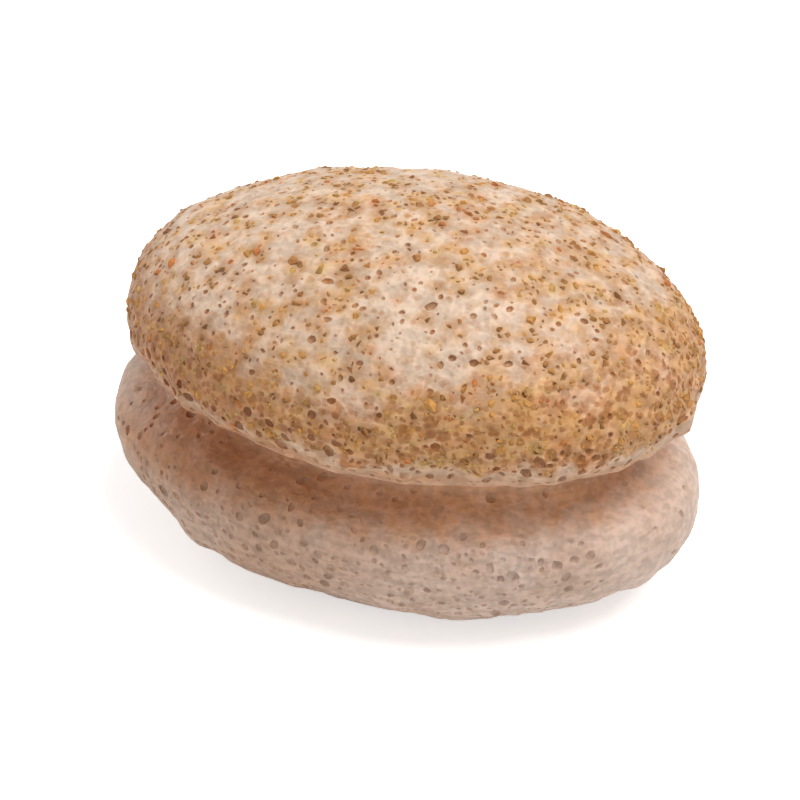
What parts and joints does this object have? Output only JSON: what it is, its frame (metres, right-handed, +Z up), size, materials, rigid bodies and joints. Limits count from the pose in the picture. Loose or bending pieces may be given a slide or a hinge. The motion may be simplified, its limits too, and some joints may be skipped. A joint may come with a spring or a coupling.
{
  "type": "konjac facial sponge",
  "caption": "Oval konjac face sponge with a waist groove for the fingers, a plain porous lower lobe and an upper lobe carrying crushed walnut shell.",
  "frame": {"origin": "middle of the object's box, on the floor that it stands on", "axes": "+X along the oval's length, +Y across its width, +Z up from the plain lobe to the walnut lobe"},
  "size_m": [0.094, 0.0654, 0.0576],
  "materials": {
    "konjac_gel": "damp open-celled konjac gel foam, pale pinkish beige",
    "walnut_shell": "crushed walnut shell, amber to dark brown"
  },
  "bodies": {
    "root": {"konjac_sponge": "konjac_gel"}
  },
  "joints": []
}
